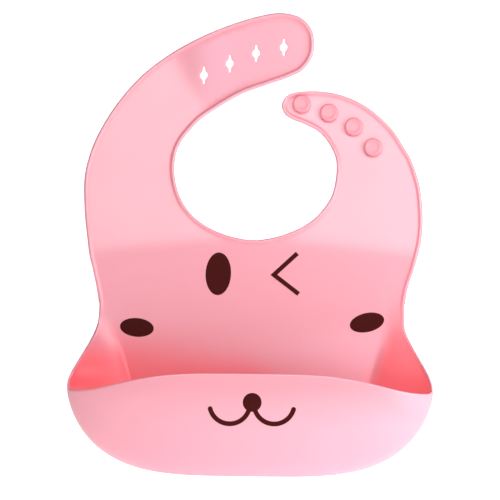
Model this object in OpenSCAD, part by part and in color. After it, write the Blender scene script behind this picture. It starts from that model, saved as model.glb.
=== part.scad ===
// Silicone bib with a stand-up food catcher and a buttoned neck strap.
// Upright: +Z up, +X to the viewer's right, front towards -Y.
// The apron's back face lies in the plane Y = 0.

/* [Sheet] */
// Thickness of the silicone sheet
sheet_t = 2; // [1.5:0.1:3]
// Height of the raised rim above the sheet
rim_h = 1; // [0.2:0.1:2]
// Width of the raised rim
rim_w = 2.4; // [1:0.1:5]
// Width of the gap left at each flexing line
flex_gap = 1.2; // [0.8:0.1:2]

/* [Catcher] */
// Half width of the catcher at its corners
catcher_half = 118.5; // [100:0.5:130]
// Height of the catcher corners below the waist zero line
corner_drop = 54; // [40:0.5:70]
// Height of the catcher bowl below its corners
bowl_h = 57; // [40:0.5:70]
// Mouth depth at the middle, front to back
mouth_depth = 60; // [40:1:80]
// Mouth depth at the corners, front to back
corner_depth = 40; // [20:1:60]
// Depth of the lowest point of the bowl
keel_depth = 24; // [15:1:40]
// Height of the arch in the front wall's edge
rim_arch = 12; // [0:0.5:20]

/* [Waist] */
// Height of the waist flexing line
waist_z = -4; // [-10:0.5:5]
// Gap at the waist flexing line
waist_gap = 1.6; // [1.2:0.1:2.5]

/* [Neck strap] */
// Backward lean of the shoulders and straps at rest, degrees
shoulder_lean = 12; // [0:1:25]
// Forward bend of the hole strap's tip at rest, degrees
tip_bend = 12; // [0:1:25]
// Distance between neighbouring holes, and between neighbouring studs
pitch = 18.6; // [15:0.1:22]

/* [Studs and holes] */
// Diameter of a stud's head
stud_d = 11.8; // [8:0.1:14]
// Height of a stud above the strap
stud_h = 3.6; // [2:0.1:6]
// Diameter of a stud's stem
stem_d = 5.4; // [3:0.1:8]
// Diameter of the round part of a hole
hole_d = 5.2; // [3:0.1:7]
// Length of a hole's slit, end to end
slit_len = 12; // [8:0.1:16]
// Width of a hole's slit
slit_w = 1.9; // [0.8:0.1:3]

/* [Inlaid motifs] */
// Height of the motifs above the sheet
motif_t = 0.3; // [0.1:0.05:0.6]

/* [Hidden] */

bib_pink = [0.99, 0.72, 0.77];
motif_brown = [0.3, 0.1, 0.1];

// ---- Outline of the upper half ----
// Knots [x, z] as seen from the front: from the left waist up and round the hole
// strap's tip, down its inner edge, under the neck, up the stud strap's inner
// edge, round its tip and down its outer edge to the right waist.
hole_outer = [[-99, -8], [-99, 0], [-101, 12], [-103.5, 23], [-105.5, 31], [-107, 42],
  [-109, 60], [-109.5, 81], [-106.5, 97], [-100.5, 112.5], [-89, 132], [-73, 151],
  [-54, 166], [-34, 177.5], [-14, 186], [6, 192]];
hole_end = [[19, 193.5], [31, 190], [38, 180.5], [38.5, 166.5], [32, 156], [22, 150.5]];
hole_inner = [[10, 146], [-9, 138.5], [-31, 124.5], [-40, 116], [-47, 106.5], [-50.5, 96],
  [-50.5, 83], [-46.5, 69.5], [-39, 59], [-26, 50], [-7.5, 42.5]];
stud_inner = [[1, 41.5], [9, 42.5], [26, 48.5], [39, 56], [48, 66], [53, 77],
  [54.5, 94], [50, 106], [43, 114.5], [34, 119.5], [25, 123]];
stud_end = [[20, 127], [18.5, 133], [22.5, 139], [32, 141.5], [46, 141.5]];
stud_outer = [[60, 138.5], [75, 131], [90, 117.5], [99, 104], [103.5, 96],
  [108.5, 81], [110.5, 67], [111, 54], [110, 42], [108, 33], [105.5, 24],
  [102, 13], [100, 1], [99.5, -8]];
drawn = concat(hole_outer, hole_end, hole_inner, stud_inner, stud_end, stud_outer);

// Flexing lines across the straps, from the chest outwards: the numbers of the
// two knots each line joins. Each strap's tip is on the left of its lines.
hole_folds = [[4, 32], [7, 28], [9, 26], [12, 24]];
stud_folds = [[34, 58], [37, 55], [39, 53]];
tip_fold = hole_folds[3];

// The knots past tip_fold are drawn as they look after the bend. In the flat
// sheet a point at a distance s past that line lies s * tip_move away: the bend
// shortens the strap, and with the lean it also lifts it.
tip_from = drawn[tip_fold[0]];
tip_across = unit(drawn[tip_fold[1]] - tip_from);
tip_along = [-tip_across[1], tip_across[0]];
tip_move = (1 - cos(tip_bend)) * tip_along - [0, sin(tip_bend) * tan(shoulder_lean)];

function unit(vector) = vector / norm(vector);
function flat_tip(point) = point + max((point - tip_from) * tip_along, 0) * tip_move;
// The direction in the flat sheet of one drawn at this angle past tip_fold
function flat_angle(angle) = let (
    seen = [cos(angle), sin(angle)],
    flat = seen + (seen * tip_along) * tip_move)
  atan2(flat[1], flat[0]);

knots = [for (i = [0:len(drawn) - 1])
  i > tip_fold[0] && i < tip_fold[1] ? flat_tip(drawn[i]) : drawn[i]];
last = len(knots) - 1;
per_span = 5; // points from one knot to the next

// Catmull-Rom curve from points[i] (t = 0) to points[i + 1] (t = 1)
function span(points, i, t) = let (
    before = points[max(i - 1, 0)],
    start = points[i],
    end = points[i + 1],
    after = points[min(i + 2, len(points) - 1)])
  0.5 * (2 * start + (end - before) * t
    + (2 * before - 5 * start + 4 * end - after) * t * t
    + (3 * start - before - 3 * end + after) * t * t * t);
// The outline from one knot to another
function edge(first, final) = concat(
  [for (k = [first:final - 1]) for (m = [0:per_span - 1]) span(knots, k, m / per_span)],
  [knots[final]]);
function reversed(list) = [for (i = [len(list) - 1:-1:0]) list[i]];
// Evenly spaced values, both ends included
function steps(from, to, count) = [for (i = [0:count]) from + (to - from) * i / count];
// An edge moved into the sheet, which lies on the edge's right
function inset(path, distance) = let (end = len(path) - 1) [for (i = [0:end])
  let (along = unit(path[min(i + 1, end)] - path[max(i - 1, 0)]))
    path[i] + distance * [along[1], -along[0]]];

// Extrudes a shape drawn in X and Z from y towards the front
module slab(depth, y = 0)
  translate([0, y, 0]) rotate([90, 0, 0]) linear_extrude(depth) children();

// ---- Flat pieces and their places ----
cut_w = 4;       // width of the strip cut away at a flexing line
cut_overrun = 3; // how far that strip passes the outline at each end
cut_depth = 20;  // centred on Y = 0

// Cuts a strip that starts half a gap before a flexing line and runs past it,
// to the left of the line if tip_side, else to the right
module end_cut(fold, tip_side) {
  start = knots[fold[0]];
  line = knots[fold[1]] - start;
  slab(cut_depth, cut_depth / 2) translate(start) rotate(atan2(line[1], line[0]))
    translate([-cut_overrun, tip_side ? -flex_gap / 2 : flex_gap / 2 - cut_w])
      square([norm(line) + 2 * cut_overrun, cut_w]);
}

// A piece of the sheet: its rimmed edges, and the flexing lines that end it
// on the chest side and on the tip side
module piece(edges, chest_folds, tip_folds) difference() {
  union() {
    slab(sheet_t) polygon([for (path = edges) each path]);
    for (path = edges)
      slab(sheet_t + rim_h) polygon(concat(path, reversed(inset(path, rim_w))));
  }
  for (fold = chest_folds) end_cut(fold, false);
  for (fold = tip_folds) end_cut(fold, true);
}
module strap_part(lower, upper)
  piece([edge(lower[0], upper[0]), edge(upper[1], lower[1])], [lower], [upper]);
module strap_end(fold) piece([edge(fold[0], fold[1])], [fold], []);

// Turns children backwards about a flexing line at the sheet's middle
module turn_back(fold, angle) {
  start = knots[fold[0]];
  line = knots[fold[1]] - start;
  pivot = [start[0], -sheet_t / 2, start[1]];
  translate(pivot) rotate(a = -angle, v = [line[0], 0, line[1]]) translate(-pivot) children();
}
module at_left() turn_back(hole_folds[0], shoulder_lean) children();
module at_right() turn_back(stud_folds[0], shoulder_lean) children();
module at_tip() at_left() turn_back(tip_fold, -tip_bend) children();

// ---- Catcher surface ----
side_power = 4;    // squareness of the bowl outline across X
low_power = 1.68;  // and down Z
panel_half = 78;   // half width of the flat panel at corner height
panel_drop = 49;   // height of the flat panel below the corners
crease_slope = 0.26;
mouth_z = -44;     // free edge of the front wall at the middle
arch_half = 113;   // half width of the arch in that edge
wall_power = 0.45; // how fast the front wall comes forward from its outline
soften = 0.02;     // keeps the depth blend defined at the middle
lower_top = waist_z - waist_gap / 2;
upper_bottom = waist_z + waist_gap / 2;

// Silhouette above the corners: [z, half width]
side_knots = [[-corner_drop, catcher_half], [-50, 118], [-46, 116.5], [-40, 113.5],
  [-33, 109.5], [-26, 105.5], [-19, 102], [-12, 99.8], [-4, 99]];
function side_x(z, i = 0) = i >= len(side_knots) - 2 || z <= side_knots[i + 1][0]
  ? span(side_knots, i, (z - side_knots[i][0]) / (side_knots[i + 1][0] - side_knots[i][0]))[1]
  : side_x(z, i + 1);
function crease_x(z) = panel_half + crease_slope * (z + corner_drop);
function ease(t) = let (u = min(max(t, 0), 1)) u * u * (3 - 2 * u);
// Depth of the free side edge: the gusset's angle grows from 10 to 47 degrees
// between z = -2 and z = -44
function side_depth(z) = let (angle = 10 + 37 * ease((-z - 2) / 42))
  min((side_x(z) - crease_x(z)) * tan(angle), corner_depth);

// Height of a bowl outline below the corners
function bowl_z(x, half, height) = -corner_drop
  - height * pow(1 - pow(min(abs(x) / half, 1), side_power), 1 / low_power);
function low_z(x) = bowl_z(x, catcher_half, bowl_h);
function panel_z(x) = bowl_z(x, panel_half, panel_drop);
function rim_z(x) = mouth_z
  - rim_arch * (1 - cos(180 * pow(min(abs(x) / arch_half, 1), 2))) / 2;

function side_share(x) = pow(min(abs(x) / catcher_half, 1), side_power);
// Depth of the silhouette, from the keel to the corners
function edge_depth(side, total) = keel_depth
  + (corner_depth - keel_depth) * min((side + soften) / (total + soften), 1);
function front_y(x, z) = let (
    side = side_share(x),
    low = pow(max(-corner_drop - z, 0) / bowl_h, low_power),
    total = min(side + low, 1),
    depth = edge_depth(side, total))
  -(depth + (mouth_depth - depth) * pow(1 - total, wall_power));

// A point between the panel's edge (out = 0) and the silhouette (out = 1)
function across(panel, rim, out) = let (bulged = out + pow(out, 3) * (1 - out))
  [panel[0] + (rim[0] - panel[0]) * bulged,
    panel[1] + (rim[1] - panel[1]) * out,
    panel[2] + (rim[2] - panel[2]) * bulged];
// Below the corners, placed by a column angle from -90 (left) to 90 (right)
function low_point(angle, out) = let (
    x = catcher_half * sin(angle),
    panel_x = panel_half * sin(angle))
  across([panel_x, 0, panel_z(panel_x)], [x, -edge_depth(side_share(x), 1), low_z(x)], out);
// Above the corners, on the left side, placed by height
function side_point(z, out) =
  across([-crease_x(z), 0, z], [-side_x(z), -side_depth(z), z], out);
// On the front wall, down = 0 at the free edge and 1 at the silhouette
function wall_point(angle, down) = let (
    x = catcher_half * sin(angle),
    z = rim_z(x) + (low_z(x) - rim_z(x)) * down)
  [x, front_y(x, z), z];

// A closed shell on a grid of points. Rows follow each other down the left side
// and towards the right; each row runs down the front wall or towards the panel.
// The shell fills the space between two distances along the inward normal.
module shell(grid, from = 0, to = sheet_t) {
  rows = len(grid);
  cols = len(grid[0]);
  end_i = rows - 1;
  end_j = cols - 1;
  normals = [for (i = [0:end_i]) [for (j = [0:end_j]) unit(cross(
    grid[min(i + 1, end_i)][j] - grid[max(i - 1, 0)][j],
    grid[i][min(j + 1, end_j)] - grid[i][max(j - 1, 0)]))]];
  points = [for (distance = [from, to]) for (i = [0:end_i]) for (j = [0:end_j])
    grid[i][j] + distance * normals[i][j]];
  // Point numbers on the outer and the inner face
  function outer(i, j) = i * cols + j;
  function inner(i, j) = (rows + i) * cols + j;
  function quad(a, b, c, d) = [[a, b, c], [a, c, d]];
  polyhedron(points, concat(
    [for (i = [0:end_i - 1]) for (j = [0:end_j - 1]) each concat(
      quad(outer(i, j), outer(i + 1, j), outer(i + 1, j + 1), outer(i, j + 1)),
      quad(inner(i, j), inner(i, j + 1), inner(i + 1, j + 1), inner(i + 1, j)))],
    [for (i = [0:end_i - 1]) each concat(
      quad(outer(i, 0), inner(i, 0), inner(i + 1, 0), outer(i + 1, 0)),
      quad(outer(i, end_j), outer(i + 1, end_j), inner(i + 1, end_j), inner(i, end_j)))],
    [for (j = [0:end_j - 1]) each concat(
      quad(outer(0, j), outer(0, j + 1), inner(0, j + 1), inner(0, j)),
      quad(outer(end_i, j), inner(end_i, j), inner(end_i, j + 1), outer(end_i, j + 1)))]));
}

// ---- Lower half ----
module apron_lower_panel() {
  margin = flex_gap / 2;
  side = [for (z = steps(lower_top, -corner_drop, 8)) [crease_x(z) - margin, z]];
  low = [for (angle = [84:-6:-84]) let (x = panel_half * sin(angle))
    [x * (panel_half - margin) / panel_half, panel_z(x) + margin]];
  left_side = reversed([for (point = side) [-point[0], point[1]]]);
  color(bib_pink) slab(sheet_t) polygon(concat(side, low, left_side));
}
module catcher_floor() color(bib_pink)
  shell([for (angle = [-36:4:36]) [for (out = steps(0.5, 0.08, 6)) low_point(angle, out)]]);

// Full width down to z = -47, then narrower beside and below the front wall's return
module gusset_left() {
  wide = steps(1, 0.07, 8);
  narrow = steps(0.62, 0.07, 8);
  color(bib_pink) shell(concat(
    [for (z = steps(lower_top, -47, 9)) [for (out = wide) side_point(z, out)]],
    [for (z = [-50.5, -53.5]) [for (out = narrow) side_point(z, out)]],
    [for (angle = [-84:6:-42]) [for (out = narrow) low_point(angle, out)]]));
}
module gusset_right() mirror([1, 0, 0]) gusset_left();

// The wall turns under at the silhouette and returns towards the panel,
// further at the middle than at the sides
module catcher_front_wall() color(bib_pink)
  shell([for (angle = [-87:3:87]) let (end = abs(angle) < 39 ? 0.58 : 0.69) concat(
    [for (down = [0, 0.15, 0.3, 0.45, 0.58, 0.7, 0.8, 0.87, 0.92, 0.96, 0.985])
      wall_point(angle, down)],
    [for (out = [1, 0.94, 0.87, 0.8, (end + 0.8) / 2, end]) low_point(angle, out)])]);

// ---- Motifs ----
motif_gap = 0.02; // between the curved motif and the front wall
nose_r = 6.1;
smile_r = 13;
smile_w = 3.1;

function ellipse(centre, radius_x, radius_z, tilt) = [for (t = [0:10:350])
  centre + radius_x * cos(t) * [cos(tilt), sin(tilt)]
    + radius_z * sin(t) * [-sin(tilt), cos(tilt)]];
function arc(centre, radius, from, to) =
  [for (angle = steps(from, to, 18)) centre + radius * [cos(angle), sin(angle)]];
function arc_band(centre, radius, width, from, to) = concat(
  arc(centre, radius + width / 2, from, to),
  arc(centre, radius - width / 2, to, from));
// Two arms from a corner; seen from the corner, the first is on the left
function chevron(corner, first, second, width) = let (
    half = width / 2,
    arm_1 = unit(first - corner),
    arm_2 = unit(second - corner),
    mitre = half * unit(arm_1 + arm_2) / sqrt((1 - arm_1 * arm_2) / 2),
    inward_1 = half * [arm_1[1], -arm_1[0]],
    inward_2 = half * [-arm_2[1], arm_2[0]])
  [corner - mitre, first - inward_1, first + inward_1,
    corner + mitre, second + inward_2, second - inward_2];

module flat_motif(outline) slab(motif_t, -sheet_t) polygon(outline);

module cheek_motif_left() color(motif_brown) flat_motif(ellipse([-74, -15.5], 11, 6.1, -4.5));
module cheek_motif_right() color(motif_brown)
  flat_motif(ellipse([75.5, -10.5], 11.4, 6.2, 13.5));
module eye_motif_open() color(motif_brown) flat_motif(ellipse([-21.5, 20], 8.3, 13.9, -2));
module eye_motif_wink() color(motif_brown)
  flat_motif(chevron([14.6, 19.8], [29.7, 33.9], [30.9, 7.5], 2.7));

// A round nose and two arcs, cut from a thin shell in front of the wall
module nose_mouth_motif() color(motif_brown) intersection() {
  shell([for (x = [-33:3:36]) [for (z = [-54:-3:-90]) [x, front_y(x, z), z]]],
    -motif_t, -motif_gap);
  union() {
    slab(100) polygon(ellipse([1.5, -62.5], nose_r, nose_r, 0));
    slab(100) polygon(arc_band([-13, -63.5], smile_r, smile_w, -12, -165));
    slab(100) polygon(arc_band([15.7, -63.3], smile_r, smile_w, -168, -15));
  }
}

// ---- Upper half ----
module chest_panel() {
  left = hole_folds[0];
  right = stud_folds[0];
  color(bib_pink) difference() {
    piece([edge(0, left[0]), edge(left[1], right[0]), edge(right[1], last)],
      [], [left, right]);
    slab(cut_depth, cut_depth / 2) translate([-150, upper_bottom - 40]) square([300, 40]);
  }
}

module left_shoulder() color(bib_pink) at_left() strap_part(hole_folds[0], hole_folds[1]);
module hole_strap_side() color(bib_pink) at_left() strap_part(hole_folds[1], hole_folds[2]);
module hole_strap_crown() color(bib_pink) at_left() strap_part(hole_folds[2], tip_fold);
module right_shoulder() color(bib_pink) at_right() strap_part(stud_folds[0], stud_folds[1]);
module stud_strap_side() color(bib_pink) at_right() strap_part(stud_folds[1], stud_folds[2]);
module stud_strap_tip() color(bib_pink) at_right() strap_end(stud_folds[2]);

// Points a pitch apart from a first one, each step at its own angle
function walk(point, angles, i = 0) = i == len(angles) ? [point]
  : concat([point], walk(point + pitch * [cos(angles[i]), sin(angles[i])], angles, i + 1));
hole_at = walk(flat_tip([-32.5, 151.5]), [for (angle = [25, 22.5, 13]) flat_angle(angle)]);
stud_at = walk([31.5, 132.5], [-17.5, -29, -47]);

// Each hole is round with an upright slit through it
module hole_strap_tip() color(bib_pink) at_tip() difference() {
  strap_end(tip_fold);
  for (place = hole_at) translate([place[0], 1, place[1]]) {
    rotate([90, 0, 0]) cylinder(h = sheet_t + 2, d = hole_d, $fn = 48);
    translate([-slit_w / 2, -sheet_t - 2, -slit_len / 2]) cube([slit_w, sheet_t + 2, slit_len]);
  }
}

// Half profile of a stud, [radius, height]: flared stem, rounded head, dished top
stem_flare = 0.8;
stud_profile = [[0, 0], [stem_d / 2 + stem_flare, 0], [stem_d / 2, stem_flare],
  [stem_d / 2, stud_h * 0.45], [stud_d / 2 - 0.4, stud_h * 0.55],
  [stud_d / 2, stud_h * 0.68], [stud_d / 2 - 0.3, stud_h * 0.88],
  [stud_d / 2 - 1.1, stud_h], [3.8, stud_h], [3.3, stud_h - 0.5], [0, stud_h - 0.7]];
module stud(i) color(bib_pink) at_right() translate([stud_at[i][0], -sheet_t, stud_at[i][1]])
  rotate([90, 0, 0]) rotate_extrude($fn = 64) polygon(stud_profile);
module stud_1() stud(0);
module stud_2() stud(1);
module stud_3() stud(2);
module stud_4() stud(3);

apron_lower_panel();
catcher_floor();
gusset_left();
gusset_right();
catcher_front_wall();
cheek_motif_left();
cheek_motif_right();
nose_mouth_motif();
chest_panel();
eye_motif_open();
eye_motif_wink();
left_shoulder();
hole_strap_side();
hole_strap_crown();
hole_strap_tip();
right_shoulder();
stud_strap_side();
stud_strap_tip();
stud_1();
stud_2();
stud_3();
stud_4();
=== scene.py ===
import math

import bmesh
import bpy
import numpy as np
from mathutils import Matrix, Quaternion, Vector
from mathutils.geometry import delaunay_2d_cdt


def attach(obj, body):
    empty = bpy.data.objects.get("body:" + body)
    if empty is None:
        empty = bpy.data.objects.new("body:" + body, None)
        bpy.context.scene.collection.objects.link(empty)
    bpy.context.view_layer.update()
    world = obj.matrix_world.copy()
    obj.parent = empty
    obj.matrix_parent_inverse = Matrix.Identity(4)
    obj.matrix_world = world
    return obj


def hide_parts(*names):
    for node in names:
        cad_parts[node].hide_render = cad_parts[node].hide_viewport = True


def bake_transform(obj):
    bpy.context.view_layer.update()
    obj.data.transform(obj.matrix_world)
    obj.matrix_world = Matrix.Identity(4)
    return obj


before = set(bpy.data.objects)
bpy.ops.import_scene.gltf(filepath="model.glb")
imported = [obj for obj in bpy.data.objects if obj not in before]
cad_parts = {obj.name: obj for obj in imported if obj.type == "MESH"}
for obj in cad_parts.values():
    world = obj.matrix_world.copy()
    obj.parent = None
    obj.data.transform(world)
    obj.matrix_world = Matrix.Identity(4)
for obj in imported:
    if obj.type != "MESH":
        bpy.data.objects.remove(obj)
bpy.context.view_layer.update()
MM = 0.001

# ---------------------------------------------------------------- sizes, mm and degrees
SHEET = 2.0              # thickness of the sheet
HALF_WIDTH = 118.5       # of the pocket's silhouette
PANEL_HALF = 78.0        # half width of the flat back panel at the corner height
CORNER_Z = -54.0         # where the pocket's sides turn into its bowl
BOWL_DROP = 57.0         # from there down to the lowest point of the silhouette
PANEL_DROP = 49.0        # and down to the lowest point of the flat panel
MOUTH_DEPTH = 60.0       # how far forward the front wall reaches at most
CORNER_DEPTH = 40.0      # depth of the silhouette line at the corners
KEEL_DEPTH = 24.0        # and at the middle of the bowl
SIDE_POWER = 4.0
LOW_POWER = 1.68         # exponents of the bowl's rounded-box curve
SEAM_Z = -14.0           # chest skin above, pocket skin below
FLAT_ABOVE = 16.0        # above this the sides lie flat
CREASE_ROUND = 4.0       # rounding either side of the crease
LEAN = 12.0              # how far the straps lean back
TIP_BEND = 12.0          # how far the hole strap's last part comes forward again
BEND_HALF = 9.0          # half length of either bend
HINGE_Z = 43.5           # height of the lean's hinge line, before its slope
LEAN_REACH = 0.994       # share of the lean's backward travel that is kept
PITCH = 18.6             # between holes and between studs

# Outline of the upper half as curve knots (x, z), from the lower left round both straps.
KNOTS = np.array([
    # hole strap, outside edge going up
    [-99, -8], [-99, 0], [-101, 12], [-103.5, 23], [-105.5, 31], [-107, 42], [-109, 60],
    [-109.5, 81], [-106.5, 97], [-100.5, 112.5], [-89, 132], [-73, 151], [-54, 166],
    [-33.6, 176.7], [-13.1, 184.5], [7.2, 189.8],
    # its round end
    [20.5, 190.9], [32.6, 187.1], [39.7, 177.6], [40, 163.8], [33.3, 153.6], [23.1, 148.5],
    # inside edge, back down towards the neck's lowest point
    [10.9, 144.4], [-8.5, 137.6], [-31, 124.5], [-40, 116], [-47, 106.5], [-50.5, 96],
    [-50.5, 83], [-46.5, 69.5], [-39, 59], [-26, 50], [-7.5, 42.5],
    # stud strap, inside edge going up
    [1, 41.5], [9, 42.5], [26, 48.5], [39, 56], [48, 66], [53, 77], [54.5, 94], [50, 106],
    [43, 114.5], [34, 119.5], [25, 123],
    # its blunt end
    [20, 127], [18.5, 133], [22.5, 139], [32, 141.5], [46, 141.5],
    # outside edge going down
    [60, 138.5], [75, 131], [90, 117.5], [99, 104], [103.5, 96], [108.5, 81], [110.5, 67],
    [111, 54], [110, 42], [108, 33], [105.5, 24], [102, 13], [100, 1], [99.5, -8]], float)
# Half width of the silhouette between pocket and waist: (z, x).
SIDE_KNOTS = np.array([
    [-54, 118.5], [-50, 118], [-46, 116.5], [-40, 113.5], [-33, 109.5], [-26, 105.5],
    [-19, 102], [-12, 99.8], [-4, 99]], float)


def catmull_rom(a, b, c, d, t):
    """Point at share t of the curve from b to c."""
    return 0.5 * (2 * b + (c - a) * t + (2 * a - 5 * b + 4 * c - d) * t * t
                  + (3 * b - a - 3 * c + d) * t ** 3)


def fade(value, start, end):
    """0 at start, 1 at end, a smooth step between; start may be the larger."""
    t = np.clip((value - start) / (end - start), 0, 1)
    return t * t * (3 - 2 * t)


def unit(vectors):
    """Vectors of length 1 along the last axis; a zero vector stays zero."""
    length = np.linalg.norm(vectors, axis=-1, keepdims=True)
    return vectors / np.where(length < 1e-12, 1, length)


def walk(start, angles):
    """Points one pitch apart, each step at its own angle."""
    out = [np.array(start, float)]
    for a in np.radians(angles):
        out.append(out[-1] + PITCH * np.array([math.cos(a), math.sin(a)]))
    return np.array(out)


HOLES = walk([-32.3, 151.1], [22.8, 20.3, 11])
STUDS = walk([31.5, 132.5], [-17.5, -29, -47])


# ---------------------------------------------------------------- pocket surface
def crease_x(z):
    """Half width of the flat panel, where the sides start to come forward."""
    return PANEL_HALF + 0.26 * (z - CORNER_Z)


def side_x(z, right=0.0):
    """Half width of the silhouette; right = 1 gives the slightly wider right side."""
    z = np.atleast_1d(np.asarray(z, float))
    knots = SIDE_KNOTS
    out = np.empty_like(z)
    for i, height in enumerate(z):
        j = int(np.clip(np.searchsorted(knots[:, 0], height) - 1, 0, len(knots) - 2))
        b, c = knots[j], knots[j + 1]
        t = min((height - b[0]) / (c[0] - b[0]), 1.0)
        before, after = knots[max(j - 1, 0)], knots[min(j + 2, len(knots) - 1)]
        out[i] = catmull_rom(before, b, c, after, t)[1]
    return out + right * fade(z, -16, -4)


def side_angle(z):
    """How steeply the sides come forward, in radians."""
    return np.radians((10 + 37 * fade(z, -2, -44)) * fade(z, FLAT_ABOVE, -8))


def bow_z(x, half, drop):
    """Rounded-box curve hanging from the corner height."""
    side = np.minimum(np.abs(x) / half, 1) ** SIDE_POWER
    return CORNER_Z - drop * np.maximum(1 - side, 0) ** (1 / LOW_POWER)


def rim_z(x):
    """Height of the front wall's free edge."""
    base = -44 - 12 * (1 - np.cos(math.pi * np.minimum(np.abs(x) / 113, 1) ** 2)) / 2
    return base + 1.8 * np.clip((np.abs(x) - 115) / 3.5, 0, 1) ** 2


def side_share(x):
    return np.minimum(np.abs(x) / HALF_WIDTH, 1) ** SIDE_POWER


def edge_depth(side, total):
    """Depth of the silhouette line: the keel's at the middle, the corners' at the sides."""
    share = np.minimum((side + 0.02) / (total + 0.02), 1)
    return KEEL_DEPTH + (CORNER_DEPTH - KEEL_DEPTH) * share


def front_y(x, z):
    """The front wall's outer face."""
    side = side_share(x)
    low = (np.maximum(CORNER_Z - z, 0) / BOWL_DROP) ** LOW_POWER
    total = np.minimum(side + low, 1)
    edge = edge_depth(side, total)
    return -(edge + (MOUTH_DEPTH - edge) * (1 - total) ** 0.45)


def keel_y(x):
    return -edge_depth(side_share(x), 1)


def reach(w):
    """Share of the way out to the silhouette, for share w of the way forward."""
    return w + w ** 3 * (1 - w)


SHARES = np.linspace(0, 1, 401)
REACHES = reach(SHARES)


def forward_share(out):
    """The inverse of reach."""
    return np.interp(out, REACHES, SHARES)


def soft(d, k):
    """0 before a crease, d after it, rounded over k either side."""
    return np.where(d < -k, 0.0, np.where(d > k, d, (d + k) ** 2 / (4 * k)))


# ---------------------------------------------------------------- rest bends of the upper half
BEND_S = np.linspace(-400, 400, 16001)      # distance past the middle of a bend


def bend_table(total):
    """Angle, run forward and travel sideways at each of BEND_S, for a bend of total degrees."""
    angle = np.radians(total) * fade(BEND_S, -BEND_HALF, BEND_HALF)
    step = BEND_S[1] - BEND_S[0]
    along = np.cumsum(np.cos(angle)) * step
    out = np.cumsum(np.sin(angle)) * step
    start = int(np.searchsorted(BEND_S, -BEND_HALF - 1))
    return angle, along - along[start] + BEND_S[start], out - out[start]


def bend_at(s, table):
    return [np.interp(s, BEND_S, column) for column in table]


LEAN_TABLE = bend_table(LEAN)
TIP_TABLE = bend_table(TIP_BEND)
TIP_HINGE = KNOTS[12]
across_strap = unit(KNOTS[24] - TIP_HINGE)
TIP_FORWARD = np.array([-across_strap[1], across_strap[0]])      # along the strap to its end
if TIP_FORWARD[0] < 0:
    TIP_FORWARD = -TIP_FORWARD


def rest_map(points, tip):
    """Flat sheet to its relaxed shape; tip marks the points on the hole strap's last part."""
    points = np.array(points, float)
    mid = SHEET / 2
    # the last part of the hole strap comes forward again
    tipped = points.copy()
    s = np.where(tip, (points[:, [0, 2]] - TIP_HINGE) @ TIP_FORWARD, -50)
    angle, along, out = bend_at(s, TIP_TABLE)
    off = points[:, 1] + mid
    shift = along + off * np.sin(angle) - s
    tipped[:, 0] += shift * TIP_FORWARD[0]
    tipped[:, 2] += shift * TIP_FORWARD[1]
    tipped[:, 1] = -mid + off * np.cos(angle) - out
    # both straps lean back from the chest
    hinge = HINGE_Z - 0.107 * np.sqrt(tipped[:, 0] ** 2 + 36.0)
    angle, along, out = bend_at(tipped[:, 2] - hinge, LEAN_TABLE)
    off = tipped[:, 1] + mid
    rest = tipped.copy()
    rest[:, 2] = hinge + along - off * np.sin(angle)
    rest[:, 1] = -mid + off * np.cos(angle) + out * LEAN_REACH
    return rest


# ---------------------------------------------------------------- mesh helpers
def vertex_normals(verts, faces):
    tris = np.array([(f[0], f[k], f[k + 1]) for f in faces for k in range(1, len(f) - 1)], int)
    start = verts[tris[:, 0]]
    normal = np.cross(verts[tris[:, 1]] - start, verts[tris[:, 2]] - start)
    out = np.zeros_like(verts)
    for k in range(3):
        np.add.at(out, tris[:, k], normal)
    return unit(out)


def boundary(faces):
    """Directed edges that no other face runs the other way."""
    seen = dict.fromkeys(e for f in faces for e in zip(f, list(f[1:]) + [f[0]]))
    return [e for e in seen if (e[1], e[0]) not in seen]


def two_layer(front, back, faces, skip=()):
    """Vertices, both layers' faces, and a wall on each open edge that is not in skip."""
    n = len(front)
    layers = [tuple(f) for f in faces] + [tuple(n + i for i in reversed(f)) for f in faces]
    walls = [(b, a, n + a, n + b) for a, b in boundary(faces)
             if (a, b) not in skip and (b, a) not in skip]
    return np.vstack([front, back]), layers, walls


def make_object(name, verts, faces, normals=None, shade_glow=None):
    """Object from mm vertices, leaving out the unused ones; the pairs given per vertex are
    painted shade (negative: painted light) and painted glow.
    """
    used = sorted({i for f in faces for i in f})
    remap = {old: k for k, old in enumerate(used)}
    mesh = bpy.data.meshes.new(name)
    mesh.from_pydata([tuple(verts[i] * MM) for i in used], [],
                     [tuple(remap[i] for i in f) for f in faces])
    mesh.validate(clean_customdata=False)
    mesh.update()
    mesh.polygons.foreach_set("use_smooth", [True] * len(mesh.polygons))
    if normals is not None:
        mesh.normals_split_custom_set_from_vertices([tuple(normals[i]) for i in used])
    for k, key in enumerate(("painted_shade", "glow")):
        layer = mesh.attributes.new(key, "FLOAT", "POINT")
        layer.data.foreach_set(
            "value", [0.0 if shade_glow is None else float(shade_glow[i][k]) for i in used])
    ob = bpy.data.objects.new(name, mesh)
    bpy.context.scene.collection.objects.link(ob)
    return ob


def inside(poly, pts):
    """True for each point inside the closed polygon."""
    poly = np.asarray(poly, float)
    pts = np.asarray(pts, float)
    x, y = pts[:, 0], pts[:, 1]
    result = np.zeros(len(pts), bool)
    j = len(poly) - 1
    for i in range(len(poly)):
        xi, yi = poly[i]
        xj, yj = poly[j]
        if yi != yj:
            result ^= ((yi > y) != (yj > y)) & (x < (xj - xi) * (y - yi) / (yj - yi) + xi)
        j = i
    return result


def near(pts, refs, dist):
    """True for each point of pts with a reference point closer than dist."""
    out = np.zeros(len(pts), bool)
    for k in range(0, len(pts), 400):
        gaps = np.linalg.norm(pts[k:k + 400, None] - refs[None], axis=2)
        out[k:k + 400] = gaps.min(1) < dist
    return out


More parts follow.
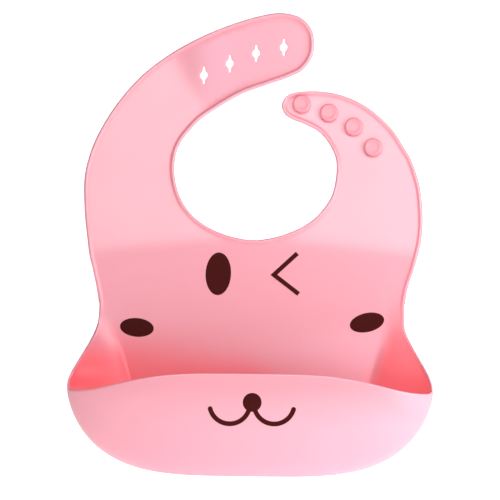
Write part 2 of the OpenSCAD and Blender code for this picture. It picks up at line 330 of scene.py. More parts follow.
def hexgrid(lo, hi, step):
    rise = step * math.sqrt(3) / 2
    return np.array([(lo[0] + (i + 0.5 * (j % 2)) * step, lo[1] + j * rise)
                     for j in range(int((hi[1] - lo[1]) / rise) + 1)
                     for i in range(int((hi[0] - lo[0]) / step) + 1)])


def triangulate(pts, edges):
    """Triangles over pts with the edges kept: the points used and counter-clockwise triangles."""
    verts, _, tris, _, _, _ = delaunay_2d_cdt([Vector(p) for p in pts], edges, [], 0, 1e-6)
    verts = np.array([(p.x, p.y) for p in verts])
    tris = np.array([tuple(t) for t in tris if len(t) == 3], int)
    a = verts[tris[:, 1]] - verts[tris[:, 0]]
    b = verts[tris[:, 2]] - verts[tris[:, 0]]
    area = a[:, 0] * b[:, 1] - a[:, 1] * b[:, 0]
    tris[area < 0] = tris[area < 0][:, ::-1]
    return verts, tris[np.abs(area) > 1e-9]


def lookup(old, new):
    """For each point of new, the number of the same point in old, else -1."""
    key = {(round(p[0] * 2e3), round(p[1] * 2e3)): i for i, p in enumerate(old)}
    out = []
    for p in new:
        kx, ky = round(p[0] * 2e3), round(p[1] * 2e3)
        hit = -1
        for dx in (0, -1, 1):
            for dy in (0, -1, 1):
                hit = key.get((kx + dx, ky + dy), -1) if hit < 0 else hit
        out.append(hit)
    return out


# ---------------------------------------------------------------- painted shade, painted light and painted glow stored on the skins
# Line the right side's painted glow follows: height, x.
GLOW_LINE = np.array([(-60, 74), (-42, 81), (-26, 87.5), (-13, 89.5), (3, 91.5), (30, 92.5)])


def painted_shade_at(p):
    """Painted shade at an inner point, by how deep it lies in the pocket (negative: painted
    light), and the painted glow beside it.
    """
    x, y, z = p
    to_left = min(max(-x / 75.0, 0.0), 1.0)
    to_right = min(max(x / 75.0, 0.0), 1.0)
    # painted shade on the back panel, from its middle to its left part; its lower right part is
    # painted lighter
    middle = 0.68 * fade(z, -25, -58) * (1 - to_right) - 0.8 * to_right * fade(z, -4, -28)
    panel = middle * (1 - to_left) + 0.53 * fade(z, -8, -41) * to_left
    # painted shade along a narrow slanting fold at its left
    shaded_fold = (x + 90.0 - 0.335 * (-16.3 - z)) / 2.4
    panel += 0.2 * math.exp(-shaded_fold * shaded_fold) * fade(z, -10, -22)
    # painted shade on the walls, blended from left to right
    rightness = fade(x, -60, 60)
    wall = (0.74 * fade(z, -14, -42) * (1 - rightness)
            + 0.51 * fade(z, 24, -26) * rightness)
    # the right crease gets the walls' painted shade and a painted glow
    past_crease = x - float(np.interp(z, GLOW_LINE[:, 0], GLOW_LINE[:, 1]))
    below_chest = fade(z, 32, -16)
    on_wall = max(fade(y, -3, -17), fade(past_crease, -7, 6) * below_chest)
    painted_shade = panel * (1 - on_wall) + wall * on_wall
    # painted glow: strong by the right crease, faint low in the pocket
    glow = max(fade(past_crease, -11, 6) * below_chest, 0.14 * fade(z, -20, -46))
    # past the rim's shadow line the inside evens out again
    deep = max(fade(z, -52, -74), fade(y, -40, -56) * fade(abs(x), 82, 66))
    return painted_shade * (1 - 0.6 * deep), glow * (1 - 0.7 * deep)


def painted_light_wall(p):
    """Painted light: how much paler the low, bowed part of the front wall and its right end are
    drawn.
    """
    x, y, z = p
    low = fade(z, -50, -86) * float(np.clip(0.75 + 0.45 * x / 95.0, 0.0, 1.2))
    right_end = 0.8 * fade(x, 78, 108)
    return max(low, right_end) * fade(x, -114, -88) * fade(y, -12, -32)


def painted_light_tip(x):
    """Painted light: how much paler the hole strap is drawn where its last part starts."""
    return fade(x, -44, -26) * (0.95 - 0.6 * fade(x, -20, 15))


# ---------------------------------------------------------------- upper half: outline and rings
SPAN_STEPS = 10                        # outline points from knot to knot
LOW_ROWS = np.linspace(-20, -4, 9)     # heights where the outline follows the pocket's sides
outline = [(-float(side_x(z)[0]), z) for z in LOW_ROWS]
outline += [(-99.0, z) for z in (-2.6, -1.2)]
knot_at = {}
for k in range(1, len(KNOTS) - 2):
    knot_at[k] = len(outline)
    outline += [tuple(catmull_rom(*KNOTS[k - 1:k + 3], m / SPAN_STEPS))
                for m in range(SPAN_STEPS)]
outline += [(100.0, z) for z in (1.0, -1.2, -2.6)]
outline += [(float(side_x(z, 1.0)[0]), z) for z in LOW_ROWS[::-1]]
outline = np.array(outline)
N = len(outline)

tangent = np.gradient(outline, axis=0)
for _ in range(2):
    tangent[1:-1] = 0.25 * tangent[:-2] + 0.5 * tangent[1:-1] + 0.25 * tangent[2:]
tangent = unit(tangent)
inward = np.c_[tangent[:, 1], -tangent[:, 0]]
# near the pocket the rings step straight sideways
level = fade(outline[:, 1], 4, -6)[:, None] * (np.abs(outline[:, :1]) > 90)
inward = unit(inward * (1 - level) + level * np.c_[-np.sign(outline[:, 0]), np.zeros(N)])

# Section of the edge: distance from the outline, then front and back heights over y = 0,
# for the beaded edge of the straps and the plain rounded one beside the pocket.
RING = np.array([0, 0.13, 0.42, 0.85, 1.3, 1.75, 2.2, 2.65, 3.2, 4.2])
BEAD_FRONT = np.array([1.55, 2.08, 2.6, 2.93, 3.0, 2.9, 2.6, 2.25, 2.03, 2.0])
BEAD_BACK = np.array([0.85, 0.46, 0.17, 0.02, 0, 0, 0, 0, 0, 0])
PLAIN_FRONT = np.array([1.06, 1.49, 1.81, 1.985, 2, 2, 2, 2, 2, 2])
PLAIN_BACK = np.array([0.94, 0.51, 0.19, 0.015, 0, 0, 0, 0, 0, 0])
NR = len(RING)
ring_xy = outline[:, None, :] + RING[None, :, None] * inward[:, None, :]
inner = ring_xy[:, -1]
bead = fade(outline[:, 1], -12, 8)[:, None]      # 0 plain, 1 fully beaded

flat_pts = [tuple(p) for p in ring_xy.reshape(-1, 2)]
front_depth = list((PLAIN_FRONT + (BEAD_FRONT - PLAIN_FRONT) * bead).ravel())
back_depth = list((PLAIN_BACK + (BEAD_BACK - PLAIN_BACK) * bead).ravel())


def ring_id(i, k=NR - 1):
    """Point number of ring k at outline point i; the innermost ring unless told otherwise."""
    return i * NR + k


# (outline span, face)
ring_faces = [(i, (ring_id(i, k), ring_id(i + 1, k), ring_id(i + 1, k + 1), ring_id(i, k + 1)))
              for i in range(N - 1) for k in range(NR - 1)]


def at(knot, share=0.0):
    """Outline index at a knot, or at a share of the way to the next."""
    return knot_at[knot] + int(round(share * SPAN_STEPS))


def drop_from(knot, dist, way):
    """Outline index about dist along the edge from a knot."""
    i = knot_at[knot]
    run = 0.0
    while run < dist:
        run += np.linalg.norm(outline[i + way] - outline[i])
        i += way
    return i


# Outline indices of the seams; those across a strap are (outside edge, inside edge).
neck = at(33)
hole_root = drop_from(4, 7.3, -1)
hole_side = (at(6), at(30))
hole_crown = (at(8), at(27))
hole_tip = (at(11), at(25))
stud_root = drop_from(58, 7.3, 1)
stud_side = (at(55, 0.8), at(36, 0.1))
stud_tip = (at(54), at(38, 0.3))
left_seam = int(np.argmin(np.abs(outline[:N // 2, 1] - SEAM_Z)))
right_seam = N // 2 + int(np.argmin(np.abs(outline[N // 2:, 1] - SEAM_Z)))
MEET = np.array([inner[neck][0], 36.3])      # chest and both shoulders meet here

# ---------------------------------------------------------------- upper half: inside of the rings
FILL_STEP = 3.0
edges = [(ring_id(i), ring_id(i + 1)) for i in range(N - 1)]


def add_point(p, front=SHEET, back=0.0):
    flat_pts.append(tuple(p))
    front_depth.append(front)
    back_depth.append(back)
    return len(flat_pts) - 1


def add_line(first, last):
    """A straight run of kept edges between two points."""
    a, b = np.array(flat_pts[first]), np.array(flat_pts[last])
    count = max(int(round(np.linalg.norm(b - a) / FILL_STEP)), 1)
    before = first
    for m in range(1, count):
        now = add_point(a + (b - a) * m / count)
        edges.append((before, now))
        before = now
    edges.append((before, last))


meet_id = add_point(MEET)
for i in (hole_root, stud_root, neck):
    add_line(ring_id(i), meet_id)
for i, j in (hole_side, hole_crown, hole_tip, stud_side, stud_tip,
             (left_seam, right_seam), (0, N - 1)):
    add_line(ring_id(i), ring_id(j))

HOLE_RADIUS = 2.6
SLIT_HALF = 5.75         # half length of the slit through the hole
SLIT_ROOT = 1.05         # half width of the slit where it leaves the circle
SLIT_END = 0.6           # and at its rounded end
# Loops round a hole: growth, front and back heights of the rounded lip.
HOLE_LIPS = ((0.0, 1.72, 0.28), (0.16, 1.92, 0.08), (0.45, 2.0, 0.0))


def hole_shape(centre, grow):
    """A round hole with an upright slit through it that narrows to its ends, as a loop."""
    radius, half = HOLE_RADIUS + grow, SLIT_HALF + grow
    root, end = SLIT_ROOT + grow, SLIT_END + grow
    start = math.asin(root / radius)
    z0 = radius * math.cos(start)
    # right half of the circle, top to bottom
    pts = [(radius * math.sin(t), radius * math.cos(t))
           for t in np.linspace(start, math.pi - start, 13)]
    slit = [(root + (end - root) * t, -(z0 + (half - end - z0) * t))
            for t in np.linspace(0, 1, 4)[1:-1]]
    pts += slit
    pts += [(end * math.cos(t), -(half - end) - end * math.sin(t))
            for t in np.linspace(0, math.pi, 7)]
    pts += [(-x, z) for x, z in slit[::-1]]
    pts += [(-x, -z) for x, z in pts]
    return np.array(centre) + np.array(pts)


hole_polys = [hole_shape(c, 0.0) for c in HOLES]
for c in HOLES:
    for grow, front, back in HOLE_LIPS:
        loop = [add_point(p, front, back) for p in hole_shape(c, grow)]
        edges += list(zip(loop, loop[1:] + loop[:1]))

grid = hexgrid((-115, -19), (115, 195), FILL_STEP)
grid = grid[inside(inner, grid)]
grid = grid[~near(grid, np.array(flat_pts), FILL_STEP / 2)]
for poly in hole_polys:
    grid = grid[~inside(poly, grid)]
for p in grid:
    add_point(p)

# triangles inside the innermost ring; crossing lines may add points of their own
fill_ids = [ring_id(i) for i in range(N)] + list(range(N * NR, len(flat_pts)))
fill_xy = np.array(flat_pts)[fill_ids]
local = {i: k for k, i in enumerate(fill_ids)}
got_xy, tris = triangulate(fill_xy, [(local[a], local[b]) for a, b in edges])
got_ids = [fill_ids[hit] if hit >= 0 else add_point(p)
           for p, hit in zip(got_xy, lookup(fill_xy, got_xy))]
tri_ids = np.array(got_ids)[tris]
flat_pts = np.array(flat_pts)
centres = flat_pts[tri_ids].mean(1)
keep = inside(inner, centres)
for poly in hole_polys:
    keep &= ~inside(poly, centres)
tri_ids, centres = tri_ids[keep], centres[keep]

# Each skin's border: runs of outline indices (tuples) and the meeting point.
SKIN_BORDERS = {
    "chest_skin": [(left_seam, hole_root), MEET, (stud_root, right_seam)],
    "left_shoulder_skin": [(hole_root, hole_side[0]), (hole_side[1], neck), MEET],
    "hole_side_skin": [(hole_side[0], hole_crown[0]), (hole_crown[1], hole_side[1])],
    "hole_crown_skin": [(hole_crown[0], hole_tip[0]), (hole_tip[1], hole_crown[1])],
    "hole_tip_skin": [hole_tip],
    "right_shoulder_skin": [(neck, stud_side[1]), (stud_side[0], stud_root), MEET],
    "stud_side_skin": [(stud_side[1], stud_tip[1]), (stud_tip[0], stud_side[0])],
    "stud_tip_skin": [(stud_tip[1], stud_tip[0])]}


def face_front(quads, triangles):
    """All faces as tuples, counter-clockwise as seen from the front."""
    out = []
    for f in quads + [tuple(int(i) for i in t) for t in triangles]:
        x, y = flat_pts[list(f)].T
        turned = np.sum(x * np.roll(y, -1) - np.roll(x, -1) * y) > 0
        out.append(f if turned else tuple(reversed(f)))
    return out


def skin_faces_in(border):
    runs = [part for part in border if isinstance(part, tuple)]
    region = np.vstack([inner[part[0]:part[1] + 1] if isinstance(part, tuple) else part
                        for part in border])
    quads = [f for i, f in ring_faces if any(a <= i < b for a, b in runs)]
    return face_front(quads, tri_ids[inside(region, centres)])


skin_faces = {name: skin_faces_in(border) for name, border in SKIN_BORDERS.items()}
# a margin below the seam, only there to give the seam smooth normals
margin = face_front([f for i, f in ring_faces if i < left_seam or i >= right_seam],
                    tri_ids[centres[:, 1] < SEAM_Z])

# ---------------------------------------------------------------- upper half: relaxed shape
MIN_SIDE = 4.0      # least width kept beyond the crease


def back_surface(xy):
    """Back face before the straps lean: flat, with the sides of the waist coming forward."""
    x, z = xy[:, 0], xy[:, 1]
    crease = crease_x(z)
    side_z = np.clip(z, CORNER_Z, 8)
    side = np.where(x > 0, side_x(side_z, 1.0), side_x(side_z, 0.0))
    side = np.where(z > -4, np.maximum(side, crease + MIN_SIDE), side)
    past = np.abs(x) - crease
    width = np.maximum(side - crease, 1.0)
    slope = np.tan(side_angle(z))
    y = -forward_share(np.clip(past / width, 0, 1)) * width * slope
    k = CREASE_ROUND / np.sqrt(1 + slope * slope)
    y -= slope * (soft(past, k) - np.maximum(past, 0))
    return np.c_[x, np.where(z > FLAT_ABOVE, 0.0, y), z]


def sheet_normals(surface, xy, h=0.05):
    """Normals towards the front of a surface over (x, z)."""
    dx = surface(xy + [h, 0]) - surface(xy - [h, 0])
    dz = surface(xy + [0, h]) - surface(xy - [0, h])
    return unit(np.cross(dx, dz))


tip_zone = np.zeros(len(flat_pts), bool)
for name in ("hole_crown_skin", "hole_tip_skin"):
    tip_zone[sorted({i for f in skin_faces[name] for i in f})] = True

back_face = back_surface(flat_pts)
forward = sheet_normals(back_surface, flat_pts)
forward[flat_pts[:, 1] > FLAT_ABOVE] = (0, -1, 0)
upper_front = rest_map(back_face + forward * np.array(front_depth)[:, None], tip_zone)
upper_back = rest_map(back_face + forward * np.array(back_depth)[:, None], tip_zone)

# The neck cut's lowest part is rounder than its knots make it: x, height of the lip, lift.
NECK_LIP = np.array([
    (-54, 82, 0), (-37, 57.5, -0.95), (-30.5, 53, -1.1), (-24, 49.5, -1.0),
    (-17.5, 46.5, -0.65), (-13, 45.2, -0.2), (-9, 43.6, 0.4), (-5, 42.2, 0.85),
    (-1, 41.9, 0.8), (3, 41.9, 0.75), (6.5, 42.2, 0.7), (10.5, 43.6, 0.3),
    (14.5, 44.8, -0.15), (18.5, 46.0, -0.45), (25, 48.2, -0.5), (31.5, 51.2, -0.6),
    (38, 55.5, -0.4), (48, 64, -0.2), (58, 84, 0)])
NECK_FADE = 9.0      # how far from the lip the lift dies out
for layer in (upper_front, upper_back):
    lip = np.interp(layer[:, 0], NECK_LIP[:, 0], NECK_LIP[:, 1])
    share = np.exp(-((layer[:, 2] - lip) / NECK_FADE) ** 2)
    layer[:, 2] += np.interp(layer[:, 0], NECK_LIP[:, 0], NECK_LIP[:, 2]) * share

upper_faces = margin + [f for faces in skin_faces.values() for f in faces]
margin_edge = {(a, b) for a, b in boundary(upper_faces)
               if flat_pts[a][1] < -19.9 and flat_pts[b][1] < -19.9}
verts, layers, walls = two_layer(upper_front, upper_back, upper_faces, margin_edge)
upper_normals = vertex_normals(verts, layers + walls)

# painted shade and painted glow on the lower chest's front face, painted light on both faces of
# the hole strap by its last part
upper_shade_glow = np.zeros((len(verts), 2))
for i, p in enumerate(upper_front):
    if p[2] < 34.0:
        upper_shade_glow[i] = painted_shade_at(p)
    elif p[2] > 100.0 and p[0] < 45.0:
        upper_shade_glow[i] = upper_shade_glow[len(upper_front) + i] = (-painted_light_tip(p[0]), 0.0)
# painted shade and a painted glow in the groove beside the edge bead: (ring, strength)
GROOVE_RINGS = ((5, 0.3), (6, 0.75), (7, 1.0), (8, 0.8), (9, 0.2))
GROOVE_SHADE_GLOW = np.array((0.10, 0.22))
for i in range(N):
    for k, strength in GROOVE_RINGS:
        j = ring_id(i, k)
        much = strength * bead[i, 0]
        upper_shade_glow[j] = np.maximum(upper_shade_glow[j], 0) * (1 - 0.5 * much) + GROOVE_SHADE_GLOW * much

PIECES = {}
for name, faces in skin_faces.items():
    verts, layers, walls = two_layer(upper_front, upper_back, faces)
    PIECES[name] = make_object(name, verts, layers + walls, upper_normals, upper_shade_glow)

# ---------------------------------------------------------------- pocket: columns of points
# Each column runs from the flat panel over the crease and along the floor or side to the
# silhouette, then (in the bowl) up the front wall to its free edge.
MARGIN_ROWS = [-10.0, -12.0]      # above the seam, only for smooth normals
SIDE_ROWS = MARGIN_ROWS + [
    -14.0, -16.0, -18.0, -20.5, -23, -26, -29, -32, -35, -38, -40.5, -43, -45.5, -48, -50,
    -51.5, -53, -54]
END_ANGLES = [80.5, 83, 85.3, 87, 88.3]
LOW_ANGLES = ([-a for a in END_ANGLES[::-1]] + list(np.arange(-78, 79, 2.0)) + END_ANGLES)
FILLET = [-1.0, -0.75, -0.5, -0.25, 0.0, 0.25, 0.5, 0.75, 1.0]      # shares of the rounding
FLOOR_T = np.array([0.12, 0.25, 0.38, 0.5, 0.61, 0.71, 0.8, 0.87, 0.93, 0.97, 1.0])
WALL_T = np.linspace(0, 1, 27)[1:]
EDGE_START = 1.25      # the free edge's rounding starts this far from its end
# Rounded free edge: distance from its end, heights of the outer and the inner face.
EDGE_D = [0.95, 0.45, 0.13, 0.0]
EDGE_OUT = [0.0, 0.17, 0.50, 0.94]
EDGE_IN = [2.0, 1.83, 1.50, 1.06]
EDGE_THIN = 0.25       # share of the thickness lost towards the free edges
WALL_FINE = 120        # points of the fine wall curve that the wall rows are taken from

WALL_ROW = len(FILLET) + len(FLOOR_T)      # first row of the wall
EDGE_ROW = WALL_ROW + len(WALL_T)          # first row of the rounded edge
NROW = EDGE_ROW + len(EDGE_D)


def ray(crease, silhouette):
    """Points from the flat panel over the soft crease to the silhouette."""
    start, end = np.array(crease, float), np.array(silhouette, float)
    plane = end - start
    length = math.hypot(plane[0], plane[2])
    outward = np.array([plane[0], 0, plane[2]]) / length
    slope = abs(end[1]) / length
    k = min(CREASE_ROUND / math.sqrt(1 + slope * slope), length * 0.45)
    pts = []
    for share in FILLET:
        d = share * k
        w = float(forward_share(max(d, 0) / length))
        y = end[1] * w - slope * (float(soft(np.array(d), k)) - max(d, 0.0))
        pts.append(start + outward * d + np.array([0, y, 0]))
    w0 = float(forward_share(k / length))
    for share in FLOOR_T:
        w = w0 + (1 - w0) * share
        r = reach(w)
        pts.append(np.array([start[0] + plane[0] * r, end[1] * w, start[2] + plane[2] * r]))
    return pts


def run_lengths(pts):
    return np.concatenate([[0], np.cumsum(np.linalg.norm(np.diff(pts, axis=0), axis=1))])


def point_at(pts, run, dist):
    return np.array([np.interp(dist, run, pts[:, k]) for k in range(3)])


def side_column(z, sign):
    """A column beside the mouth, left (-1) or right (1): no wall, so its wall rows coincide."""
    x = float(side_x(z, 1.0 if sign > 0 else 0.0)[0])
    depth = float(min((x - crease_x(z)) * math.tan(float(side_angle(z))), CORNER_DEPTH))
    curve = np.array(ray([sign * crease_x(z), 0, z], [sign * x, -depth, z]))
    run = run_lengths(curve)
    first = run[len(FILLET) - 1]
    stop = run[-1] - EDGE_START
    pts = list(curve[:len(FILLET)])
    pts += [point_at(curve, run, first + (stop - first) * t) for t in FLOOR_T]
    pts += [pts[-1]] * len(WALL_T)
    return pts + [point_at(curve, run, run[-1] - d) for d in EDGE_D]


def low_column(angle):
    """A column through the bowl and up the front wall."""
    x = HALF_WIDTH * math.sin(math.radians(angle))
    crease = PANEL_HALF * math.sin(math.radians(angle))
    top, bottom = float(rim_z(x)), float(bow_z(x, HALF_WIDTH, BOWL_DROP))
    pts = ray([crease, 0, float(bow_z(crease, PANEL_HALF, PANEL_DROP))],
              [x, float(keel_y(x)), bottom])
    z = top + (bottom - top) * (1 - np.linspace(0, 1, WALL_FINE) ** 2.3)
    same_x = np.full(WALL_FINE, x)
    wall = np.c_[same_x, front_y(same_x, z), z]
    wall[0] = pts[-1]
    run = run_lengths(wall)
    full = run[-1]
    stop = max(full - EDGE_START, full * 0.35)
    pts += [point_at(wall, run, stop * t) for t in WALL_T]
    # on a short wall the rounding shrinks with it
    return pts + [point_at(wall, run, full - min(d, full * 0.6 * d / EDGE_D[0]))
                  for d in EDGE_D]


side_kinds = ["margin" if z in MARGIN_ROWS else "side" for z in SIDE_ROWS]
kinds = side_kinds + ["low"] * len(LOW_ANGLES) + side_kinds[::-1]
G = np.array([side_column(z, -1) for z in SIDE_ROWS] + [low_column(a) for a in LOW_ANGLES]
             + [side_column(z, 1) for z in SIDE_ROWS[::-1]])      # column, row, xyz
NC = len(G)

# inward normals: from differences along both ways, evened out
across = np.empty_like(G)
across[1:-1] = G[2:] - G[:-2]
across[0] = G[1] - G[0]
across[-1] = G[-1] - G[-2]
along = np.empty_like(G)
along[:, 1:-1] = G[:, 2:] - G[:, :-2]
along[:, 0] = G[:, 1] - G[:, 0]
along[:, -1] = G[:, -1] - G[:, -2]
last = WALL_ROW - 1
for c in range(NC):
    if kinds[c] != "low":
        along[c, last] = G[c, EDGE_ROW] - G[c, last - 1]
        along[c, WALL_ROW:EDGE_ROW] = along[c, last]
        across[c, WALL_ROW:EDGE_ROW] = across[c, last]
        along[c, EDGE_ROW] = G[c, EDGE_ROW + 1] - G[c, last]
POCKET_MIDDLE = np.array([0, -25.0, -50.0])
normals = unit(np.cross(across, along))
if np.median(np.sum(normals * (POCKET_MIDDLE - G), axis=2)) < 0:
    normals = -normals
for _ in range(3):
    even = normals.copy()
    even[1:-1] = 0.25 * normals[:-2] + 0.5 * normals[1:-1] + 0.25 * normals[2:]
    normals = unit(even)

# the sheet thins a little towards the pocket's free edges
out_depth = np.zeros((NC, NROW))
in_depth = np.full((NC, NROW), SHEET)
out_depth[:, EDGE_ROW:] = EDGE_OUT
in_depth[:, EDGE_ROW:] = EDGE_IN
for c in range(NC):
    thick = np.ones(NROW)
    if kinds[c] == "low":
        thick[WALL_ROW:EDGE_ROW] = 1 - EDGE_THIN * fade(WALL_T, 0.75, 1.0)
        thick[EDGE_ROW:] = 1 - EDGE_THIN
    else:
        thick[len(FILLET):WALL_ROW] = 1 - EDGE_THIN * fade(FLOOR_T, 0.6, 1.0)
        thick[WALL_ROW:] = 1 - EDGE_THIN
        thick = 1 - (1 - thick) * fade(G[c, 0, 2], -16, -32)
    in_depth[c] *= thick
    out_depth[c] *= thick
pocket_out = list((G + normals * out_depth[:, :, None]).reshape(-1, 3))
pocket_in = list((G + normals * in_depth[:, :, None]).reshape(-1, 3))

ids = np.arange(NC * NROW).reshape(NC, NROW)
for c in range(NC):
    if kinds[c] != "low":
        ids[c, WALL_ROW:EDGE_ROW] = ids[c, WALL_ROW - 1]
pocket_faces, pocket_margin = [], []
for c in range(NC - 1):
    target = pocket_margin if "margin" in kinds[c:c + 2] else pocket_faces
    for r in range(NROW - 1):
        quad = (ids[c, r], ids[c + 1, r], ids[c + 1, r + 1], ids[c, r + 1])
        corners = tuple(dict.fromkeys(int(i) for i in quad))
        if len(corners) > 2:
            target.append(corners)

# ---------------------------------------------------------------- pocket: flat panel
SEAM_STEPS = 40
PANEL_STEP = 5.0
panel_ids = [int(ids[c, 0]) for c in range(NC) if kinds[c] != "margin"]
panel_xy = [tuple(pocket_out[i][[0, 2]]) for i in panel_ids]


def pocket_point(x, z):
    pocket_out.append(np.array([x, 0.0, z]))
    pocket_in.append(np.array([x, -SHEET, z]))
    panel_xy.append((x, z))
    panel_ids.append(len(pocket_out) - 1)


seam_from, seam_to = panel_xy[-1][0], panel_xy[0][0]
for k in range(1, SEAM_STEPS):
    pocket_point(float(seam_from + (seam_to - seam_from) * k / SEAM_STEPS), SEAM_Z)
border = np.array(panel_xy)
border_edges = [(k, (k + 1) % len(border)) for k in range(len(border))]
grid = hexgrid((-95, -105), (95, SEAM_Z), PANEL_STEP)
grid = grid[inside(border, grid)]
for p in grid[~near(grid, border, 2.2)]:
    pocket_point(float(p[0]), float(p[1]))
got_xy, tris = triangulate(np.array(panel_xy), border_edges)
found = lookup(np.array(panel_xy), got_xy)
for t in tris[inside(border, got_xy[tris].mean(1))]:
    hits = [found[int(i)] for i in t]
    face = tuple(panel_ids[hit] for hit in hits)
    if len(set(face)) == 3 and min(hits) >= 0:
        a, b, c = (pocket_out[i] for i in face)
        # like the columns' faces, the panel's face the back
        facing_front = np.cross(b - a, c - a)[1] < 0
        pocket_faces.append(tuple(reversed(face)) if facing_front else face)
pocket_out, pocket_in = np.array(pocket_out), np.array(pocket_in)


# ---------------------------------------------------------------- pocket: skin
def stays_open(a, b):
    """True for an edge at the seam or round the margin, except the margin's free edges."""
    (_, ya, za), (_, yb, zb) = pocket_out[a], pocket_out[b]
    free = min(abs(ya), abs(yb)) > 0.5 and za < -9.9 and abs(za - zb) > 0.4
    return za > -14.3 and zb > -14.3 and not free


with_margin = pocket_faces + pocket_margin
open_edges = {e for e in boundary(with_margin) if stays_open(*e)}
verts, layers, walls = two_layer(pocket_out, pocket_in, with_margin, open_edges)
pocket_normals = vertex_normals(verts, layers + walls)
verts, layers, walls = two_layer(pocket_out, pocket_in, pocket_faces)
# painted shade and painted glow on the pocket's inner face, painted light on its outer face
pocket_shade_glow = np.zeros((len(verts), 2))
for i in range(len(pocket_out)):
    tint = np.array(painted_shade_at(pocket_in[i]))
    # painted shade and painted glow fade out on the rounded lip along the free edge
    if i < NC * NROW:      # the rounded lip along the free edge stays light
        c, r = divmod(i, NROW)
        to_edge = float(np.linalg.norm(np.diff(G[c, r:], axis=0), axis=1).sum())
        tint *= 0.12 + 0.88 * fade(to_edge, 0.6, 3.6)
    pocket_shade_glow[len(pocket_out) + i] = tint
    # painted light: the front wall's outer face is drawn paler low down and at its right end
    pocket_shade_glow[i] = (-painted_light_wall(pocket_out[i]), 0.0)
PIECES["pocket_skin"] = make_object("pocket_skin", verts, layers + walls, pocket_normals,
                                    pocket_shade_glow)

# ---------------------------------------------------------------- motifs
MOTIF_STEP = 1.4
MOTIF_PROUD = 0.2       # above the sheet
MOTIF_RIM = 0.03        # above the sheet at the rim
MOTIF_SUNK = 0.15       # into the sheet


def ellipse(centre, rx, rz, tilt, n=64):
    t = np.linspace(0, 2 * math.pi, n, endpoint=False)
    a = math.radians(tilt)
    x, z = rx * np.cos(t), rz * np.sin(t)
    return np.c_[centre[0] + x * math.cos(a) - z * math.sin(a),
                 centre[1] + x * math.sin(a) + z * math.cos(a)]


def arc(centre, radius, start, end, n=40):
    t = np.radians(np.linspace(start, end, n))
    return np.c_[centre[0] + radius * np.cos(t), centre[1] + radius * np.sin(t)]


def stroke(path, width):
    """A line with rounded ends round a run of points."""
    tangent = unit(np.gradient(path, axis=0))
    side = np.c_[-tangent[:, 1], tangent[:, 0]]
    half = width / 2

    def cap(centre, start):
        a = math.atan2(start[1], start[0])
        return [centre + half * np.array([math.cos(a - t), math.sin(a - t)])
                for t in np.linspace(0, math.pi, 11)[1:-1]]

    return np.vstack([path + side * half, cap(path[-1], side[-1]),
                      (path - side * half)[::-1], cap(path[0], -side[0])])


def chevron(corner, end_a, end_b, width):
    """Two straight strokes that meet in a point at the corner."""
    corner, end_a, end_b = (np.array(p, float) for p in (corner, end_a, end_b))
    to_a, to_b = unit(end_a - corner), unit(end_b - corner)
    middle = unit(to_a + to_b)
    half_sine = math.sqrt((1 - to_a @ to_b) / 2)
    side_a = np.array([to_a[1], -to_a[0]])
    side_b = np.array([-to_b[1], to_b[0]])
    turn = 1 if side_a @ middle > 0 else -1
    miter = middle * width / 2 / half_sine
    off_a, off_b = turn * side_a * width / 2, turn * side_b * width / 2
    loop = [corner - miter, end_a - off_a, end_a + off_a, corner + miter,
            end_b + off_b, end_b - off_b]
    out = []
    for a, b in zip(loop, loop[1:] + loop[:1]):
        count = max(int(np.linalg.norm(b - a) / 0.9), 1)
        out += [a + (b - a) * m / count for m in range(count)]
    return np.array(out)


def flat_front(xy):
    return np.c_[xy[:, 0], np.full(len(xy), -SHEET), xy[:, 1]]


def wall_front(xy):
    return np.c_[xy[:, 0], front_y(xy[:, 0], xy[:, 1]), xy[:, 1]]


def motif(name, shapes, surface=flat_front):
    """An inlaid patch over the union of closed shapes, on the sheet's front surface."""
    loops = np.vstack(shapes)
    kept_edges = []
    first = 0
    for shape in shapes:
        n = len(shape)
        kept_edges += [(first + k, first + (k + 1) % n) for k in range(n)]
        first += n
    grid = hexgrid(loops.min(0), loops.max(0), MOTIF_STEP)
    grid = grid[np.any([inside(s, grid) for s in shapes], axis=0)]
    grid = grid[~near(grid, loops, MOTIF_STEP * 0.45)]
    xy, tris = triangulate(np.vstack([loops, grid]), kept_edges)
    middles = xy[tris].mean(1)
    tris = tris[np.any([inside(s, middles) for s in shapes], axis=0)]
    faces = [tuple(int(i) for i in t) for t in tris]
    proud = np.full(len(xy), MOTIF_PROUD)
    proud[sorted({i for e in boundary(faces) for i in e})] = MOTIF_RIM
    base = surface(xy)
    normal = sheet_normals(surface, xy)
    verts, layers, walls = two_layer(base + normal * proud[:, None],
                                     base - normal * MOTIF_SUNK, faces)
    PIECES[name] = make_object(name, verts, layers + walls, vertex_normals(verts, layers))


motif("eye_left_inlay", [ellipse((-21.5, 20), 8.3, 13.9, -2)])
motif("eye_right_inlay", [chevron((14.6, 19.8), (29.7, 33.9), (30.9, 7.5), 2.9)])
motif("cheek_left_inlay", [ellipse((-74, -15.5), 11, 6.1, -4.5)])
motif("cheek_right_inlay", [ellipse((75.5, -10.5), 11.4, 6.2, 13.5)])
motif("muzzle_inlay", [
    ellipse((1.5, -62.5), 6.1, 6.1, 0, 48), stroke(arc((-13, -63.5), 13, -8, -165), 3.1),
    stroke(arc((15.7, -63.3), 13, -172, -15), 3.1)], wall_front)

# ---------------------------------------------------------------- studs
# Section of a stud: radius, height in front of the sheet.
STUD_PROFILE = [
    (0, -0.12), (3.5, -0.12), (3.45, 0.0), (3.1, 0.2), (2.85, 0.5), (2.7, 0.9), (2.7, 1.5),
    (2.9, 1.66), (3.6, 1.76), (4.8, 1.84), (5.35, 1.95), (5.7, 2.15), (5.88, 2.42),
    (5.9, 2.7), (5.8, 3.0), (5.55, 3.28), (5.15, 3.5), (4.7, 3.6), (4.25, 3.59),
    (3.9, 3.53), (3.6, 3.44), (3.3, 3.36), (3.0, 3.31), (2.5, 3.28), (1.4, 3.26), (0, 3.26)]
STUD_SEGMENTS = 56
STUD_NAMES = ["stud_head_%d" % (k + 1) for k in range(len(STUDS))]


